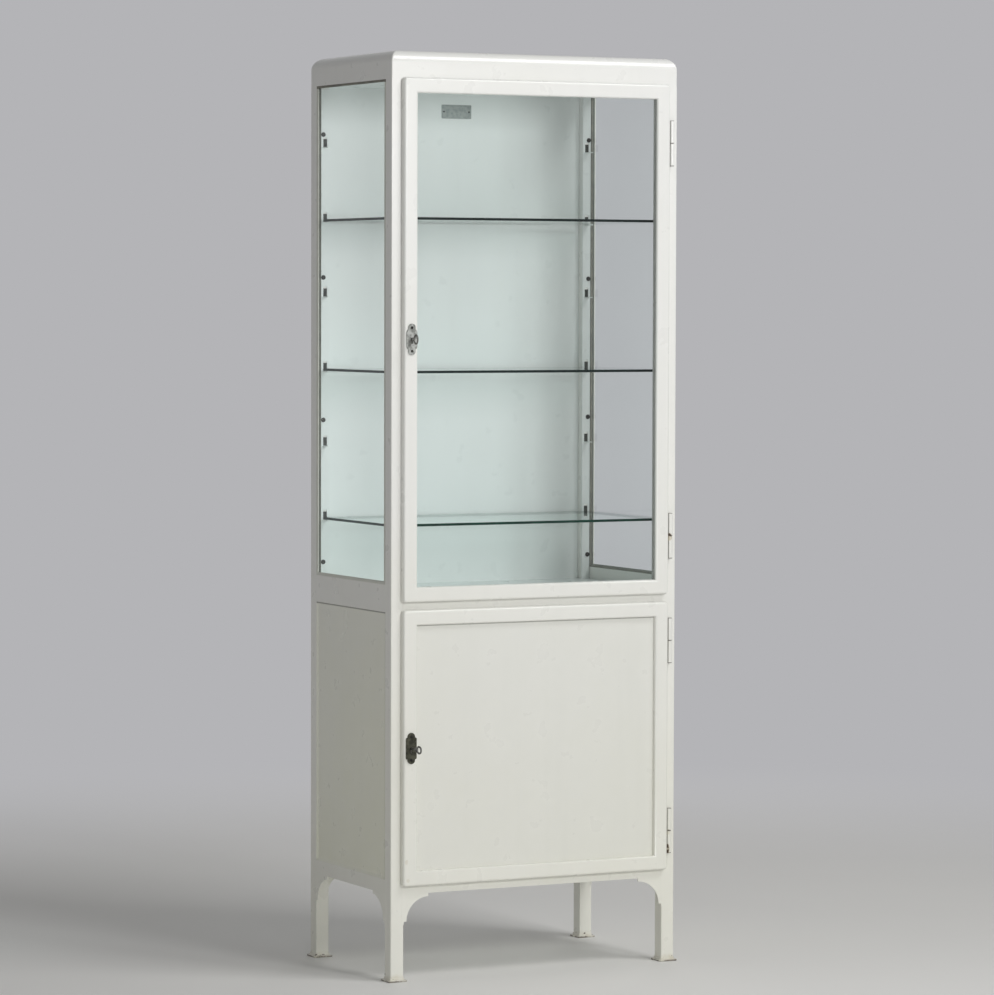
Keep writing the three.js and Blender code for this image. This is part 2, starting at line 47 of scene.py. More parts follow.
class Wire:  # one socket of a node tree, with arithmetic on its value
    def __init__(self, tree, socket=None):
        self.tree = tree
        self.socket = socket

    def node(self, kind, settings=None, inputs=None, out=0):
        made = self.tree.nodes.new("ShaderNode" + kind)
        for key, value in (settings or {}).items():
            setattr(made, key, value)
        for key, value in (inputs or {}).items():
            if isinstance(value, Wire):
                self.tree.links.new(value.socket, made.inputs[key])
            else:
                made.inputs[key].default_value = value
        return Wire(self.tree, made.outputs[out] if len(made.outputs) else None)

    def other(self, out):  # another output of the same node
        return Wire(self.tree, self.socket.node.outputs[out])

    def maths(self, operation, *values):
        return self.node("Math", {"operation": operation}, dict(enumerate(values)))

    def __add__(self, value):
        return self.maths("ADD", self, value)

    __radd__ = __add__

    def __sub__(self, value):
        return self.maths("SUBTRACT", self, value)

    def __rsub__(self, value):
        return self.maths("SUBTRACT", value, self)

    def __mul__(self, value):
        return self.maths("MULTIPLY", self, value)

    __rmul__ = __mul__

    def __abs__(self):
        return self.maths("ABSOLUTE", self)

    def most(self, value):  # the larger of two values
        return self.maths("MAXIMUM", self, value)

    def ease(self, low, high):  # 0 at low, 1 at high, soft in between
        limits = {"Value": self, "From Min": low, "From Max": high}
        return self.node("MapRange", {"interpolation_type": "SMOOTHSTEP"}, limits)

    def line(self, level, widths):  # 1 up to the first width from a level, 0 past the second
        return 1 - abs(self - level).ease(*widths)

    def along(self, axis):  # one coordinate of a place
        return self.node("SeparateXYZ", {}, {0: self}, axis)

    def noise(self, scale, detail, stretch=None):
        spot = self
        if stretch:
            spot = self.node("Mapping", {}, {"Vector": self, "Scale": stretch})
        return spot.node("TexNoise", {}, {"Vector": spot, "Scale": scale, "Detail": detail}, "Fac")

    def patches(self, pattern, stretch=None):  # pattern: scale, detail, and the noise that counts as 0 and 1
        scale, detail, low, high = pattern
        return self.noise(scale, detail, stretch).ease(low, high)

    def blend(self, share, first, second):  # two colours
        return self.node("Mix", {"data_type": "RGBA"}, {0: share, 6: first, 7: second}, 2)

    def near(self, centre, reach, core=0.35):  # 1 in the core of a place, 0 at its reach and beyond
        away = self.node("VectorMath", {"operation": "SUBTRACT"}, {0: self, 1: centre})
        away = self.node("VectorMath", {"operation": "DIVIDE"}, {0: away, 1: reach})
        far = self.node("VectorMath", {"operation": "LENGTH"}, {0: away}, "Value")
        return 1 - far.ease(core, 1.0)


def tone(red, green, blue):  # a picture's 0 to 255 colour as a shader colour
    def straight(value):
        share = value / 255
        return share / 12.92 if share <= 0.04045 else ((share + 0.055) / 1.055) ** 2.4
    return (straight(red), straight(green), straight(blue), 1.0)


def newFinish(name):
    material = bpy.data.materials.new(name)
    material.use_nodes = True
    material.node_tree.nodes.clear()
    return material, Wire(material.node_tree).node("TexCoord", out="Object")


def showSurface(spot, shader):
    spot.node("OutputMaterial", {}, {"Surface": shader})


def roughen(spot, height, strength, distance):
    relief = {"Height": height, "Strength": strength, "Distance": distance}
    return spot.node("Bump", {}, relief, "Normal")


# Enamel: white, yellowed towards the floor, with chips, stains and rust where it is worn, and painted shade
# where a mask is given

enamelLook = {
    "white": tone(238, 238, 235), "warm": tone(231, 230, 214), "grey": tone(206, 208, 200),
    # inside and insideWarm are lighter, greener copies of the white that brighten the interior: painted
    # light. side is an olive copy for the side panels: painted bounce light from the floor
    "inside": tone(243, 248, 246), "insideWarm": tone(240, 245, 241), "side": tone(230, 231, 196),
    # the dark tone at dirt is what painted shade in gaps, creases and recesses blends towards, with some
    # real dirt
    "rust": tone(72, 56, 42), "dirtAndShade": tone(80, 78, 70), "stain": tone(190, 178, 146),
    "yellowing": (0.10, 1.15),      # metres up: the enamel yellows towards the floor
    "footSoil": (0.004, 0.030),     # metres up: chips and rust at the feet
    "plateSoil": (0.0012, 0.0042),  # metres up: rusty rims of the foot plates
    "broad": (2.6, 3.0, 0.3, 0.7), "mottle": (26.0, 4.0, 0.25, 0.85), "soil": (60.0, 3.0, 0.25, 0.5),
    "runs": (1.0, 3.0, 0.45, 0.9), "runStretch": (34, 34, 2.2),
    "chips": {"noise": (120.0, 4.0), "wear": 0.35, "limits": (0.88, 0.94)},
    "stains": {"noise": (45.0, 3.0), "grain": 0.6, "wear": 0.7, "limits": (0.6, 1.1)},
    "relief": {"noise": (240.0, 2.0), "peel": 0.4, "broad": 3.0, "chips": 0.8,
               "strength": 0.3, "height": 0.00025},
    "share": {"broad": 0.15, "age": 0.45, "ageMottle": 0.08, "runs": 0.08, "mottle": 0.02,
              "foot": 0.75, "stain": 0.6, "soil": 0.8},
    "rough": 0.27, "roughMottle": 0.05, "roughChips": 0.4, "coat": 0.25, "coatRough": 0.12,
}


def enamel(name, wear=(), dirtAndShade=None, coats=("white", "warm"), dull=0.0):  # wear: (centre, reach, strength)
    look, share = enamelLook, enamelLook["share"]
    chipLook, stainLook, relief = look["chips"], look["stains"], look["relief"]
    material, spot = newFinish(name)
    fresh, old = (look[coat] for coat in coats)
    height = spot.along("Z")
    broad = spot.patches(look["broad"])
    mottle = spot.patches(look["mottle"])
    runs = spot.patches(look["runs"], look["runStretch"])
    age = 1 - height.ease(*look["yellowing"])
    yellowed = broad * share["broad"] + age * (mottle * share["ageMottle"] + share["age"])
    colour = spot.blend(yellowed, fresh, old)
    colour = spot.blend(runs * share["runs"] + mottle * share["mottle"] + dull, colour, look["grey"])
    # a given mask paints shade, with some dirt, into creases, gaps and recesses
    if dirtAndShade:
        colour = spot.blend(dirtAndShade(spot), colour, look["dirtAndShade"])
    worn = (1 - height.ease(*look["footSoil"])) * share["foot"]
    for centre, reach, strength in wear:
        worn = worn + spot.near(centre, reach) * strength
    chips = (spot.noise(*chipLook["noise"]) + worn * chipLook["wear"]).ease(*chipLook["limits"])
    stains = spot.noise(*stainLook["noise"]) * stainLook["grain"] + worn * stainLook["wear"]
    colour = spot.blend(stains.ease(*stainLook["limits"]) * share["stain"], colour, look["stain"])
    soil = (1 - height.ease(*look["plateSoil"])) * spot.patches(look["soil"])
    colour = spot.blend(soil * share["soil"], colour, look["rust"])
    colour = spot.blend(chips, colour, look["rust"])
    peel = spot.noise(*relief["noise"]) * relief["peel"]
    surface = peel + broad * relief["broad"] - chips * relief["chips"]
    shader = spot.node("BsdfPrincipled", {}, {
        "Base Color": colour,
        "Roughness": mottle * look["roughMottle"] + chips * look["roughChips"] + look["rough"],
        "Normal": roughen(spot, surface, relief["strength"], relief["height"]),
        "Coat Weight": look["coat"], "Coat Roughness": look["coatRough"],
    })
    showSurface(spot, shader)
    return material


# Glass: panes with faint smears, and shelves with ground edges

paneLook = {"tint": tone(254, 255, 255), "mirror": tone(238, 244, 242), "index": 1.5,
            "smear": (3.0, 5.0, 0.5, 0.8), "smearStretch": (1, 1, 2.4), "smearGloss": 0.035,
            "rough": 0.02, "smearRough": 0.12}
shelfLook = {"tint": tone(250, 254, 253), "mirror": tone(226, 242, 238), "index": 1.5,
             "haze": (9.0, 4.0), "hazeRough": 0.06,
             "rim": 0.0009, "deep": tone(3, 10, 8), "edgeGrain": (40.0, 3.0), "edgeShine": 0.15,
             "edgeHaze": (300.0, 2.0), "edgeHazeRough": 0.2, "edgeRough": 0.12}


def seeThrough(spot, look, gloss, roughness):  # clear, with a mirror's share on the outer faces
    outside = 1 - spot.node("NewGeometry", out="Backfacing")
    clear = spot.node("BsdfTransparent", {}, {"Color": look["tint"]})
    shine = spot.node("BsdfPrincipled", {}, {
        "Base Color": look["mirror"], "Metallic": 1.0, "Roughness": roughness})
    return spot.node("MixShader", {}, {0: gloss * outside, 1: clear, 2: shine})


def clearGlass(name):
    look = paneLook
    material, spot = newFinish(name)
    smear = spot.patches(look["smear"], look["smearStretch"])
    gloss = spot.node("Fresnel", {}, {"IOR": look["index"]}) + smear * look["smearGloss"]
    showSurface(spot, seeThrough(spot, look, gloss, smear * look["smearRough"] + look["rough"]))
    return material


def shelfGlass(name, low, high, edge):
    look, rim = shelfLook, shelfLook["rim"]
    material, spot = newFinish(name)
    middle, half = (low + high) / 2, (high - low) / 2
    side = abs(spot.along("X") - middle.x).ease(half.x - rim, half.x - rim / 3)
    end = abs(spot.along("Y") - middle.y).ease(half.y - rim, half.y - rim / 3)
    gloss = spot.node("Fresnel", {}, {"IOR": look["index"]})
    face = seeThrough(spot, look, gloss, spot.noise(*look["haze"]) * look["hazeRough"])
    ground = spot.node("BsdfPrincipled", {}, {
        "Base Color": spot.blend(spot.noise(*look["edgeGrain"]), edge, look["deep"]),
        "Roughness": spot.noise(*look["edgeHaze"]) * look["edgeHazeRough"] + look["edgeRough"],
        "Specular IOR Level": look["edgeShine"],
    })
    showSurface(spot, spot.node("MixShader", {}, {0: side.most(end), 1: face, 2: ground}))
    return material


# Metals: bright and dulled patches under fine scratches

metalLooks = {
    "nickel": {"bright": tone(172, 174, 170), "dull": tone(112, 114, 109), "metal": 0.35, "rough": 0.40},
    "keySteel": {"bright": tone(138, 138, 134), "dull": tone(58, 59, 56), "metal": 0.8, "rough": 0.24},
    # dark sheets set in the shelf strips' windows: painted shade
    "slotShadeSheet": {"bright": tone(64, 66, 60), "dull": tone(34, 35, 31), "metal": 0.2, "rough": 0.54},
    "darkBronze": {"bright": tone(82, 82, 68), "dull": tone(30, 31, 22), "metal": 0.5, "rough": 0.36},
    "bareSteel": {"bright": tone(150, 150, 148), "dull": tone(92, 88, 82), "metal": 1.0, "rough": 0.28},
    "blackScrew": {"bright": tone(62, 60, 56), "dull": tone(20, 20, 18), "metal": 0.6, "rough": 0.36},
    "platePlain": {"bright": tone(166, 173, 170), "dull": tone(152, 160, 157), "metal": 0.55, "rough": 0.36},
}
metalWear = {"patches": (150.0, 4.0, 0.38, 0.66), "scratches": (900.0, 2.0, (1, 1, 0.12)), "dulled": 0.75,
             "patchRough": 0.22, "scratchRough": 0.12, "strength": 0.25, "height": 0.0001}


def metal(name):
    look, wear = metalLooks[name], metalWear
    material, spot = newFinish(name)
    patches = spot.patches(wear["patches"])
    scratches = spot.noise(*wear["scratches"])
    shader = spot.node("BsdfPrincipled", {}, {
        "Base Color": spot.blend(patches * wear["dulled"], look["bright"], look["dull"]),
        "Metallic": look["metal"],
        "Roughness": patches * wear["patchRough"] + scratches * wear["scratchRough"] + look["rough"],
        "Normal": roughen(spot, scratches + patches, wear["strength"], wear["height"]),
    })
    showSurface(spot, shader)
    return material


# Putty: dark where it is bare, painted over elsewhere

everywhere = 9.0  # metres: past the cabinet on every side
puttyLook = {"dark": tone(88, 84, 66), "darker": tone(52, 48, 36), "paint": tone(222, 222, 212),
             "lumps": (70.0, 4.0), "mixed": (0.35, 0.65), "faceFade": 0.002, "edgeFade": 0.001,
             "rough": 0.5, "lumpRough": 0.3, "strength": 0.5, "height": 0.001}


# bare above topFace, and behind rearFace up to the edge's distance from the middle. The dark bare putty
# above topFace is partly painted shade under the window's top rail
def putty(name, rearFace=-everywhere, topFace=-everywhere, share=1.0, edge=everywhere):
    look, fade = puttyLook, puttyLook["faceFade"]
    material, spot = newFinish(name)
    inward = 1 - abs(spot.along("X")).ease(edge - look["edgeFade"], edge)
    behind = spot.along("Y").ease(rearFace - fade, rearFace) * inward
    bare = behind.most(spot.along("Z").ease(topFace - fade, topFace)) * share
    lumps = spot.noise(*look["lumps"])
    colour = spot.blend(lumps.ease(*look["mixed"]), look["dark"], look["darker"])
    painted = spot.blend(lumps, look["paint"], enamelLook["grey"])
    shader = spot.node("BsdfPrincipled", {}, {
        "Base Color": spot.blend(bare, painted, colour),
        "Roughness": lumps * look["lumpRough"] + look["rough"],
        "Normal": roughen(spot, lumps, look["strength"], look["height"]),
    })
    showSurface(spot, shader)
    return material


print("finishes: shader functions ready")


# Modelling helpers

closeBy = 1e-5       # metres: two places nearer than this are the same
sharpTurn = 0.6      # radians between two faces, past which their edge is a corner
straightEdge = 0.99  # how closely an edge follows an axis
squareFace = 0.9     # how closely a face looks along one
cutPast = 0.01       # metres that a cutter runs past the face it opens


def deselectAll():
    if bpy.context.object and bpy.context.object.mode != "OBJECT":
        bpy.ops.object.mode_set(mode="OBJECT")
    bpy.ops.object.select_all(action="DESELECT")


def selectOnly(piece):
    deselectAll()
    piece.select_set(True)
    bpy.context.view_layer.objects.active = piece


def settle(name):  # places and sizes go into the mesh
    bpy.ops.object.transform_apply(location=True, rotation=True, scale=True)
    piece = bpy.context.object
    piece.name = piece.data.name = name
    return piece


def block(name, low, high):
    deselectAll()
    low, high = Vector(low), Vector(high)
    bpy.ops.mesh.primitive_cube_add(size=1, location=(low + high) / 2)
    bpy.context.object.scale = high - low
    return settle(name)


def rod(name, centre, radius, length, axis, sides):
    deselectAll()
    turns = {"y": (math.pi / 2, 0, 0), "z": (0, 0, 0)}
    bpy.ops.mesh.primitive_cylinder_add(
        vertices=sides, radius=radius, depth=length, location=centre, rotation=turns[axis])
    return settle(name)


def choose(kind, test):  # in edit mode, selects the edges or faces that pass
    bpy.ops.mesh.select_mode(type=kind)
    bpy.ops.mesh.select_all(action="DESELECT")
    mesh = bpy.context.object.data
    shape = bmesh.from_edit_mesh(mesh)
    for part in list(shape.edges if kind == "EDGE" else shape.faces):
        if test(part):
            part.select_set(True)
    bmesh.update_edit_mesh(mesh)


def middleOf(edge):
    return (edge.verts[0].co + edge.verts[1].co) / 2


def runsAlong(edge, axis):
    return abs((edge.verts[0].co - edge.verts[1].co).normalized()[axis]) > straightEdge


def isCorner(edge):
    return edge.calc_face_angle(0) > sharpTurn


def looksAlong(face, axis, way):
    return face.normal[axis] * way > squareFace


def roundEdges(piece, test, radius, segments=4):
    selectOnly(piece)
    bpy.ops.object.mode_set(mode="EDIT")
    choose("EDGE", test)
    bpy.ops.mesh.bevel(offset=radius, offset_type="OFFSET", segments=segments, affect="EDGES")
    bpy.ops.object.mode_set(mode="OBJECT")


def softenEdges(piece, radius, segments=2, angle=35):
    selectOnly(piece)
    bevel = piece.modifiers.new("edges", "BEVEL")
    bevel.width, bevel.segments = radius, segments
    bevel.limit_method, bevel.angle_limit = "ANGLE", math.radians(angle)
    bpy.ops.object.modifier_apply(modifier=bevel.name)


def combine(piece, tool, operation):
    selectOnly(piece)
    boolean = piece.modifiers.new("cut", "BOOLEAN")
    boolean.operation, boolean.object, boolean.solver = operation, tool, "EXACT"
    bpy.ops.object.modifier_apply(modifier=boolean.name)
    bpy.data.objects.remove(tool)


def carve(piece, tool):
    combine(piece, tool, "DIFFERENCE")


def weldOn(piece, tool):
    combine(piece, tool, "UNION")


def gather(name, pieces):  # several loose bits as one piece
    deselectAll()
    for piece in pieces:
        piece.select_set(True)
    bpy.context.view_layer.objects.active = pieces[0]
    bpy.ops.object.join()
    pieces[0].name = pieces[0].data.name = name
    return pieces[0]


def plainName(start, words):  # a piece's name from a node's words
    return start + words.title().replace("_", "")


def finishPiece(piece, body, finish, stoodFor=(), angle=35):
    selectOnly(piece)
    bpy.ops.object.shade_smooth_by_angle(angle=math.radians(angle))
    even = piece.modifiers.new("normals", "WEIGHTED_NORMAL")  # flat faces stay flat beside rounded edges
    even.keep_sharp = True
    bpy.ops.object.modifier_apply(modifier=even.name)
    piece.data.materials.clear()
    piece.data.materials.append(finish)
    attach(piece, body)
    if stoodFor:
        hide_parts(*stoodFor)


# Places read from the frame, and what several pieces share

upperLow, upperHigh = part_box("upper_door_frame")
lowerLow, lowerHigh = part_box("lower_door_frame")
postLow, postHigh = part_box("front_right_post")
rearLow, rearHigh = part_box("rear_right_post")
pinLow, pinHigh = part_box("upper_top_hinge_pin")
hingeX, hingeY = (pinLow.x + pinHigh.x) / 2, (pinLow.y + pinHigh.y) / 2
hingeNames = ["upper_top", "upper_bottom", "lower_top", "lower_bottom"]
corners = ["front_left", "front_right", "rear_left", "rear_right"]
doorStile = 0.029  # metres: the width of both doors' frames


# Wear and dirt, and painted shade in gaps, creases and recesses, in metres from the pieces they lie on

hingeRust = {"strengths": (0.55, 1.3, 0.6, 0.7), "shift": Vector((-0.003, -0.003, -0.002)),
             "reach": (0.009, 0.010, 0.012)}
barrelRust = {"strength": 1.5, "shift": Vector((-0.004, -0.003, 0.008)), "reach": (0.006, 0.009, 0.016)}
doorChips = [
    {"strength": 0.7, "shift": Vector((0.010, 0, 0.012)), "reach": (0.007, 0.007, 0.007)},
    {"strength": 0.75, "shift": Vector((0.007, 0, 0.047)), "reach": (0.006, 0.006, 0.009)},
]
# painted shade, in part real dirt and putty: masks that darken the enamel in gaps, creases and recesses, and
# on the inside towards the hinges
shadeAndGrime = {
    "reveal": {"depth": (0.0038, 0.0058), "rise": 0.02, "widths": (0.0004, 0.0014), "share": 0.65},
    "doorFootShade": {"widths": (0.0006, 0.0022), "share": 0.3},
    "barrel": {"gap": (0.0046, 0.0030), "widths": (0.0006, 0.0016), "share": 0.8},
    "crease": {"below": (0.0032, 0.0022), "share": 0.75},
    "panelTop": {"below": (0.0030, 0.0012), "share": 0.5},
    "panelLock": {"beside": (0.0008, 0.0030), "share": 0.22},
    "inside": {"across": (0.08, 0.23), "behind": (0.0002, 0.0005), "share": 0.27},
}

hingeWear = []
for hingeName, strength in zip(hingeNames, hingeRust["strengths"]):  # at the split between the halves
    split = Vector((hingeX, hingeY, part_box(hingeName + "_hinge_door_knuckle")[0].z))
    hingeWear.append((split + hingeRust["shift"], hingeRust["reach"], strength))
barrelEnd = Vector((hingeX, hingeY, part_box("lower_bottom_hinge_frame_knuckle")[0].z))
hingeWear.append((barrelEnd + barrelRust["shift"], barrelRust["reach"], barrelRust["strength"]))
cornerChips = [(lowerLow + chip["shift"], chip["reach"], chip["strength"]) for chip in doorChips]


def revealShade(spot):  # painted shade, with old putty, on the glass door's right-hand reveal
    look = shadeAndGrime["reveal"]
    near, far = look["depth"]
    deep = spot.along("Y").ease(upperLow.y + near, upperLow.y + far)
    glazed = spot.along("Z").ease(lowerHigh.z, lowerHigh.z + look["rise"])
    smear = spot.along("X").line(upperHigh.x - doorStile, look["widths"]) * deep * glazed * look["share"]
    foot = shadeAndGrime["doorFootShade"]
    for bottom in (upperLow.z, lowerLow.z):  # and painted shade along the doors' lower edges, in the gaps below them
        smear = smear.most(spot.along("Z").line(bottom, foot["widths"]) * foot["share"])
    return smear


def hingeShadeAndGrime(spot):  # painted shade with grime between a barrel and the door's edge, and at the barrels' ends and splits
    look = shadeAndGrime["barrel"]
    far, near = look["gap"]
    dirtAndShade = 1 - spot.along("X").ease(hingeX - far, hingeX - near)
    for name in hingeNames:
        low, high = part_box(name + "_hinge_door_knuckle")
        for level in (low.z, high.z, 2 * low.z - high.z):
            dirtAndShade = dirtAndShade.most(spot.along("Z").line(level, look["widths"]))
    return dirtAndShade * look["share"]


def panelCreaseShade(spot):  # painted shade in the gap under the side middle rails
    look = shadeAndGrime["crease"]
    far, near = look["below"]
    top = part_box("left_lower_panel")[1].z
    return spot.along("Z").ease(top - far, top - near) * look["share"]


def doorPanelShade(spot):  # painted shade where the sunk panel meets the frame, at the top and the lock side
    far, near = shadeAndGrime["panelTop"]["below"]
    top = lowerHigh.z - doorStile
    upper = spot.along("Z").ease(top - far, top - near) * shadeAndGrime["panelTop"]["share"]
    first, last = shadeAndGrime["panelLock"]["beside"]
    side = lowerLow.x + doorStile
    lockSide = 1 - spot.along("X").ease(side + first, side + last)
    return upper.most(lockSide * shadeAndGrime["panelLock"]["share"])


def insideShade(spot):  # painted shade, darker towards the hinges, as far back as the inner face of the back panel
    look = shadeAndGrime["inside"]
    first, last = look["behind"]
    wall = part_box("back_panel")[0].y
    inner = 1 - spot.along("Y").ease(wall + first, wall + last)
    return spot.along("X").ease(*look["across"]) * inner * look["share"]


whiteFrame = enamel("whiteEnamelFrame")
whiteDoor = enamel("whiteEnamelDoor", cornerChips, revealShade)
whiteDoorPanel = enamel("whiteEnamelDoorPanel", (), doorPanelShade, dull=0.22)
whiteHinge = enamel("whiteEnamelHinge", hingeWear, hingeShadeAndGrime)
# side panels: painted bounce light in the olive tone, and painted shade under the middle rails
whiteSide = enamel("whiteEnamelSide", (), panelCreaseShade, ("white", "side"))
# inside enamel: a lighter copy of the white (painted light), with painted shade towards the hinges
whiteInside = enamel("whiteEnamelInside", (), insideShade, ("inside", "insideWarm"))
channelPutty = putty("channelPutty", share=0.68)
windowGlass = clearGlass("windowGlass")
nickel = metal("nickel")
darkBronze = metal("darkBronze")
bareSteel = metal("bareSteel")
keySteel = metal("keySteel")
slotShadeSheet = metal("slotShadeSheet")
blackScrew = metal("blackScrew")
platePlain = metal("platePlain")
print("finishes:", len(bpy.data.materials), "materials made")


# Finishes of the solids, by the ends of their names: white enamel where none fits

solidFinishes = [
    (("back_panel", "bottom_floor", "middle_floor", "ceiling_panel", "shelf_strip"), whiteInside),
    (("glazing_channel",), channelPutty),
    (("lower_door_panel",), whiteDoorPanel),
    (("side_glass", "door_glass"), windowGlass),
    (("pin", "bolt", "lock_case"), bareSteel),
    (("upper_glass_bead",), whiteDoor),
]
for name, solid in nodes.items():
    fitting = [finish for ends, finish in solidFinishes if name.endswith(ends)]
    solid.data.materials.clear()
    solid.data.materials.append(fitting[0] if fitting else whiteFrame)
print("frame pieces: finished")


# Top cap: a formed lid, rolled over at its upper edges

cap = {"rollRadius": 0.022, "cornerRadius": 0.0025}


def makeTopCap():
    low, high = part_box("top_cap")
    piece = block("topCapShell", low, high)
    roundEdges(piece, lambda e: middleOf(e).z > high.z - closeBy, cap["rollRadius"], segments=12)
    roundEdges(piece, lambda e: middleOf(e).z > low.z + closeBy and isCorner(e), cap["cornerRadius"])
    finishPiece(piece, "cabinet", whiteFrame, ["top_cap"], angle=30)


makeTopCap()
print("top cap: done")


# Doors: pressed frames with a rebate behind the opening

door = {"stile": doorStile, "rebate": 0.006, "reveal": 0.0085, "edge": 0.0005,
        "frontRadius": 0.0054, "innerRadius": 0.0046, "corner": 0.0066,
        "keyhole": 0.0033, "keyholeLength": 0.05, "keySlot": 0.0018, "keyDrop": 0.0088}


def makeDoorFrame(name, low, high, body, node):
    stile, slot = door["stile"], door["keySlot"]
    sunk = stile - door["rebate"]
    seat = low.y + door["reveal"]
    back = high.y + cutPast
    piece = block(name, low, high)

    def fromRim(edge):
        spot = middleOf(edge)
        return min(spot.x - low.x, high.x - spot.x, spot.z - low.z, high.z - spot.z)

    def inFront(edge):
        return middleOf(edge).y < low.y + closeBy and isCorner(edge)

    roundEdges(piece, lambda e: runsAlong(e, 1), door["corner"], segments=6)
    roundEdges(piece, inFront, door["frontRadius"], segments=5)
    carve(piece, block("opening", (low.x + stile, low.y - cutPast, low.z + stile),
                       (high.x - stile, back, high.z - stile)))
    roundEdges(piece, lambda e: inFront(e) and fromRim(e) > stile / 2, door["innerRadius"])
    carve(piece, block("rebate", (low.x + sunk, seat, low.z + sunk), (high.x - sunk, back, high.z - sunk)))
    plateLow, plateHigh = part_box(body.replace("_door", "_escutcheon"))
    spot = (plateLow + plateHigh) / 2
    carve(piece, rod("keyhole", spot, door["keyhole"], door["keyholeLength"], "y", sides=24))
    carve(piece, block("keySlot", (spot.x - slot, low.y - cutPast, spot.z - door["keyDrop"]),
                       (spot.x + slot, back, spot.z)))
    softenEdges(piece, door["edge"], angle=60)
    finishPiece(piece, body, whiteDoor, [node])


makeDoorFrame("upperDoorPressing", upperLow, upperHigh, "upper_door", "upper_door_frame")
makeDoorFrame("lowerDoorPressing", lowerLow, lowerHigh, "lower_door", "lower_door_frame")
print("doors: two pressed frames")


# Hinges: weld-on barrels, one half on the door and one on the post

hinge = {"radius": 0.005, "chamfer": 0.0008, "leaf": 0.003}


def makeKnuckle(name, node, body):
    low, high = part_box(node)
    centre = (hingeX, hingeY, (low.z + high.z) / 2)
    barrel = rod(name, centre, hinge["radius"], high.z - low.z, "z", sides=48)
    roundEdges(barrel, lambda e: not runsAlong(e, 2), hinge["chamfer"], segments=3)
    half = hinge["leaf"] / 2
    bottom, top = low.z + hinge["chamfer"] * 2, high.z - hinge["chamfer"] * 2
    if body == "cabinet":
        leaf = block("leaf", (hingeX - half, hingeY, bottom), (hingeX + half, postLow.y, top))
    else:  # the upper half is welded to the door's edge
        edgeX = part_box(body + "_frame")[1].x
        leaf = block("leaf", (edgeX, hingeY - half, bottom), (hingeX, hingeY + half, top))
    weldOn(barrel, leaf)
    finishPiece(barrel, body, whiteHinge, [node])


for hingeName in hingeNames:
    swinging = hingeName.split("_")[0] + "_door"
    makeKnuckle(plainName("postKnuckle", hingeName), hingeName + "_hinge_frame_knuckle", "cabinet")
    makeKnuckle(plainName("doorKnuckle", hingeName), hingeName + "_hinge_door_knuckle", swinging)
print("hinges: eight knuckles")


# Screws: domed slotted heads

screw = {"height": 0.672, "slotLength": 1.5, "slotWidth": 0.18, "slotDepth": 0.3,  # shares of the radius
         "dome": 0.8}  # share of the height


def makeScrew(name, centre, radius, facing, slotTurn):
    height = radius * screw["height"]
    outer = centre[1] + facing * height
    head = rod(name, Vector(centre) + Vector((0, facing, 0)) * height / 2, radius, height, "y", sides=24)

    def onFace(edge):
        return not runsAlong(edge, 1) and abs(middleOf(edge).y - outer) < closeBy

    roundEdges(head, onFace, height * screw["dome"])
    reach = radius * screw["slotLength"]
    deep = radius * screw["slotDepth"]
    wide = radius * screw["slotWidth"]
    slot = block("slot", (-reach, -deep, -wide), (reach, deep, wide))
    slot.rotation_euler = (0, slotTurn, 0)
    slot.location = (centre[0], outer, centre[2])
    selectOnly(slot)
    settle("slot")
    carve(head, slot)
    return head


# Locks: lobed escutcheons with a keyhole, and their keys

escutcheon = {"lobe": 0.0075, "rim": 0.0005, "body": 0.041,
              "hole": 0.0031, "slot": 0.0032, "slotDrop": 0.0085, "screw": 0.0026}
locks = {
    "upper": {"finish": nickel, "slot": "nickel", "bowLength": 0.018, "bowHeight": 0.020,
              "corner": 0.0085, "turns": (0.5, 1.9)},
    "lower": {"finish": darkBronze, "slot": "dark_bronze", "bowLength": 0.022, "bowHeight": 0.016,
              "corner": 0.003, "turns": (1.2, 0.2)},
}
key = {"bar": 0.0036, "thinning": 0.84, "shaft": 0.0025,
       "collar": 0.0038, "collarLength": 0.003, "collarRound": 0.0008,
       "bitDrop": 0.0055, "bitThickness": 0.002, "bitLength": 0.0062, "bitInset": 0.0004}


def makeEscutcheon(which):
    low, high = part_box(which + "_escutcheon")
    look, lobe = locks[which], escutcheon["lobe"]
    middle = (low + high) / 2
    halfBody = escutcheon["body"] / 2
    ends = (low.z + lobe, high.z - lobe)
    piece = block(which + "KeyPlate", (low.x, low.y, middle.z - halfBody),
                  (high.x, high.y, middle.z + halfBody))
    roundEdges(piece, lambda e: runsAlong(e, 1), look["corner"], segments=6)
    for end in ends:
        weldOn(piece, rod("lobe", (middle.x, middle.y, end), lobe, high.y - low.y, "y", sides=48))
    deep = (high.y - low.y) * 2
    carve(piece, rod("hole", middle, escutcheon["hole"], deep, "y", sides=32))
    half = escutcheon["slot"] / 2
    carve(piece, block("keySlot", (middle.x - half, middle.y - deep, middle.z - escutcheon["slotDrop"]),
                       (middle.x + half, middle.y + deep, middle.z)))
    softenEdges(piece, escutcheon["rim"], segments=3, angle=50)
    finishPiece(piece, which + "_door", look["finish"], [which + "_escutcheon"])
    heads = [makeScrew("head", (middle.x, low.y, end), escutcheon["screw"], -1, turn)
             for end, turn in zip(ends, look["turns"])]
    heads = gather(which + "KeyPlateScrews", heads)
    finishPiece(heads, which + "_door", blackScrew)


